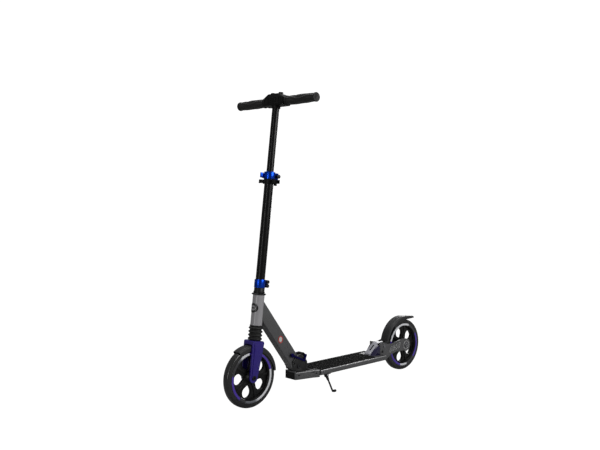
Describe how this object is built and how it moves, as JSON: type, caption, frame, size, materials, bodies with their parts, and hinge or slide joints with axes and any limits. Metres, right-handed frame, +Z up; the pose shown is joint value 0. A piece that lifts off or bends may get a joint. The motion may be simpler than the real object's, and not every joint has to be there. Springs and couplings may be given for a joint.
{
  "type": "kick scooter",
  "caption": "Folding kick scooter with a telescopic T-bar, sprung fork, spoked-look wheels, foot brake and kickstand.",
  "frame": {"origin": "on the ground, midway between the two axles, at the bottom centre of the bounding box", "axes": "+Z up; -X is the riding direction; +Y is the rider's right, and the kickstand is on -Y"},
  "size_m": [0.9978, 0.404, 1.0665],
  "materials": {
    "deck_paint": "semi-matt anthracite powder coat on aluminium",
    "head_tube_paint": "satin metallic grey paint on aluminium",
    "fork_paint": "gloss purple-blue paint on cast aluminium",
    "black_tube": "semi-gloss black coating on aluminium tube",
    "anodised_blue": "anodised blue, satin",
    "bare_steel": "zinc-plated",
    "spring_steel": "bright wire",
    "black_steel": "black oxide",
    "black_plastic": "fine-grained, matt",
    "fender_plastic": "textured, matt",
    "hub_plastic": "semi-gloss black",
    "band_print": "printed band in purple, white and grey",
    "tyre_pu": "smooth cast polyurethane, smoke grey",
    "grip_rubber": "moulded rubber, matt",
    "mat_grit": "ribbed non-slip mat",
    "plate_steel": "black-coated steel plate",
    "wedge_silver": "silver metallic",
    "wedge_purple": "purple-grey translucent-looking gloss",
    "badge_print": "printed badge"
  },
  "bodies": {
    "deck": {"deck_extrusion": "deck_paint", "grip_mat": "mat_grit", "nose_base": "deck_paint", "fold_plates": "plate_steel", "fold_pivot_bolt": "bare_steel", "deck_screws": "black_steel", "kickstand_bracket": "black_steel", "kickstand_bolt": "bare_steel", "rear_arms": "deck_paint", "rear_bridge": "deck_paint", "rear_axle": "bare_steel", "rear_axle_spacers": "bare_steel", "wedge_cover": "wedge_silver", "wedge_panels": "wedge_purple", "brake_pivot_bolt": "bare_steel", "brake_spring": "spring_steel"},
    "neck": {"neck_tube": "deck_paint", "neck_foot": "deck_paint", "head_tube": "head_tube_paint", "headset_cups": "black_steel", "headset_bearings": "bare_steel", "badges": "badge_print"},
    "release_lever": {"release_lever": "anodised_blue", "lever_pin": "anodised_blue", "step_pad": "black_plastic"},
    "kickstand": {"kickstand_leg": "black_steel", "kickstand_foot": "grip_rubber"},
    "rear_brake": {"rear_fender": "fender_plastic", "brake_pad": "bare_steel"},
    "rear_wheel": {"rear_tyre": "tyre_pu", "rear_hub": "hub_plastic", "rear_rim_bands": "band_print", "rear_bearings": "bare_steel"},
    "steerer": {"steerer_tube": "bare_steel", "headset_nut": "black_steel", "lower_stem_tube": "black_tube", "lower_clamp": "anodised_blue", "clamp_bolts": "black_steel", "upper_clamp": "anodised_blue", "grip_clip": "black_plastic", "telescope_bush": "black_plastic", "bellows": "grip_rubber", "suspension_spring": "spring_steel"},
    "fork": {"fork": "fork_paint", "front_fender": "fender_plastic", "front_axle": "black_steel", "front_axle_spacers": "bare_steel"},
    "front_wheel": {"front_tyre": "tyre_pu", "front_hub": "hub_plastic", "front_rim_bands": "band_print", "front_bearings": "bare_steel"},
    "upper_stem": {"upper_stem_tube": "black_tube", "t_block": "black_plastic"},
    "clamp_lever": {"clamp_lever": "anodised_blue"},
    "grip_left": {"grip_left": "grip_rubber", "bar_left": "bare_steel"},
    "grip_right": {"grip_right": "grip_rubber", "bar_right": "bare_steel"},
    "button_left": {"button_left": "black_plastic"},
    "button_right": {"button_right": "black_plastic"}
  },
  "joints": [
    {"name": "neck_fold", "type": "hinge", "parent": "deck", "child": "neck", "pos_m": [-0.19, 0, 0.108], "axis": [0, 1, 0], "range_deg": [0, 83]},
    {"name": "release_lever_lift", "type": "hinge", "parent": "neck", "child": "release_lever", "pos_m": [-0.22294, 0, 0.15204], "axis": [0, -1, 0], "range_deg": [0, 8], "stiffness_Nm_per_rad": 2, "springref_deg": -8.59},
    {"name": "kickstand_swing", "type": "hinge", "parent": "deck", "child": "kickstand", "pos_m": [-0.078, -0.047, 0.061], "axis": [0, -0.9511, 0.309], "range_deg": [0, 75]},
    {"name": "rear_brake_press", "type": "hinge", "parent": "deck", "child": "rear_brake", "pos_m": [0.261, 0, 0.117], "axis": [0, 1, 0], "range_deg": [0, 2.2], "stiffness_Nm_per_rad": 25, "springref_deg": -3.44},
    {"name": "rear_wheel_spin", "type": "hinge", "parent": "deck", "child": "rear_wheel", "pos_m": [0.3964, 0, 0.1025], "axis": [0, 1, 0], "continuous": true},
    {"name": "steering", "type": "hinge", "parent": "neck", "child": "steerer", "pos_m": [-0.38746, 0, 0.10143], "axis": [0.1184, 0, 0.993], "continuous": true},
    {"name": "front_suspension", "type": "slide", "parent": "steerer", "child": "fork", "axis": [0.1184, 0, 0.993], "range_m": [0, 0.012], "stiffness_N_per_m": 20000, "springref_m": -0.006, "deforming": ["bellows", "suspension_spring"]},
    {"name": "front_wheel_spin", "type": "hinge", "parent": "fork", "child": "front_wheel", "pos_m": [-0.3964, 0, 0.1025], "axis": [0, 1, 0], "continuous": true},
    {"name": "height_adjust", "type": "slide", "parent": "steerer", "child": "upper_stem", "axis": [-0.1184, 0, -0.993], "range_m": [0, 0.19]},
    {"name": "clamp_lever_open", "type": "hinge", "parent": "steerer", "child": "clamp_lever", "pos_m": [-0.28124, 0.0175, 0.77691], "axis": [-0.1184, 0, -0.993], "range_deg": [0, 150]},
    {"name": "grip_left_pull", "type": "slide", "parent": "upper_stem", "child": "grip_left", "axis": [0, -1, 0], "range_m": [0, 0.06]},
    {"name": "grip_right_pull", "type": "slide", "parent": "upper_stem", "child": "grip_right", "axis": [0, 1, 0], "range_m": [0, 0.06]},
    {"name": "button_left_press", "type": "slide", "parent": "upper_stem", "child": "button_left", "axis": [-0.1184, 0, -0.993], "range_m": [0, 0.0025], "stiffness_N_per_m": 1000, "springref_m": -0.002},
    {"name": "button_right_press", "type": "slide", "parent": "upper_stem", "child": "button_right", "axis": [-0.1184, 0, -0.993], "range_m": [0, 0.0025], "stiffness_N_per_m": 1000, "springref_m": -0.002}
  ]
}
